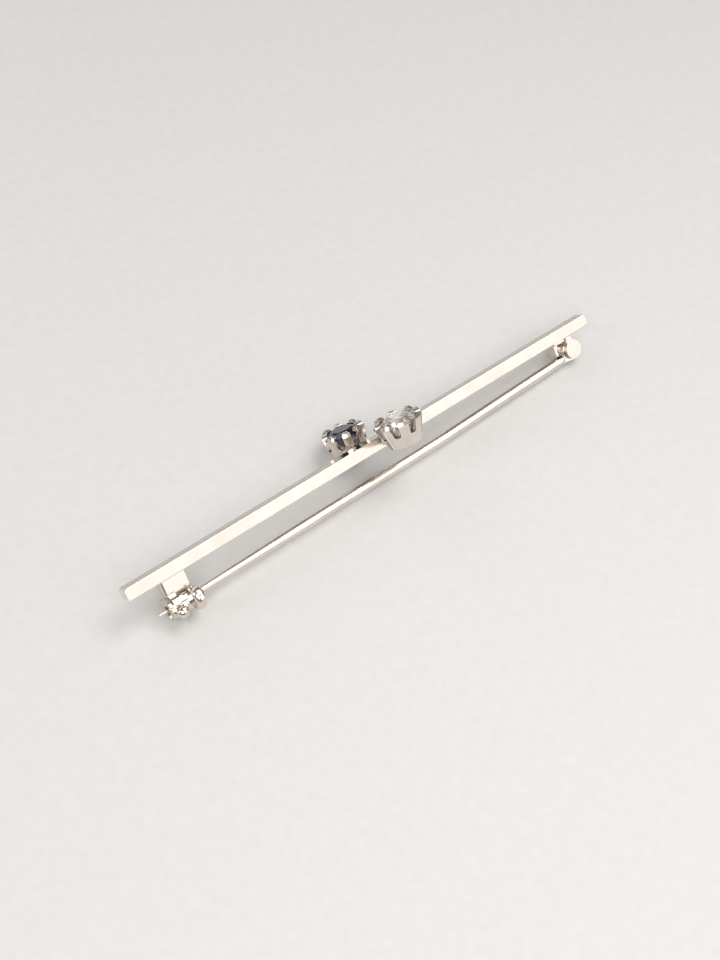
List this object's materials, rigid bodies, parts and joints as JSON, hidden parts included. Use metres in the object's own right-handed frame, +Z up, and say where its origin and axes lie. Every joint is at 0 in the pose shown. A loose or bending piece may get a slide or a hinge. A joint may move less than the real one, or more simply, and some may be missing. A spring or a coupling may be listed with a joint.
{
  "type": "bar brooch",
  "caption": "Slim square bar brooch with two open claw collets beside its middle, a hinged pin behind it and a turning safety catch.",
  "frame": {"origin": "on the surface the brooch lies on, under the middle of its outline as seen from above", "axes": "+X along the bar from the catch's end to the hinge's end, +Y away from the pin towards the side that the sapphire's collet rests on, +Z up from the surface"},
  "size_m": [0.06, 0.0096, 0.009],
  "materials": {
    "white_gold": "polished white gold with fine wear",
    "sapphire": "polished, faceted, deep blue",
    "diamond": "polished, faceted, colourless"
  },
  "bodies": {
    "frame": {"bar_frame": "white_gold", "hinge_rivet": "white_gold", "sapphire": "sapphire", "diamond": "diamond"},
    "pin": {"pin_stem": "white_gold"},
    "rotor": {"catch_rotor": "white_gold"}
  },
  "joints": [
    {"name": "pin_hinge", "type": "hinge", "parent": "frame", "child": "pin", "pos_m": [0.02691, -0.00191, 0.00134], "axis": [0.0151, -0.7548, 0.6558], "range_deg": [0, 100]},
    {"name": "catch_turn", "type": "hinge", "parent": "frame", "child": "rotor", "pos_m": [-0.02547, -0.0028, 0.00152], "axis": [0.9997, 0, -0.023], "range_deg": [0, 55]}
  ]
}
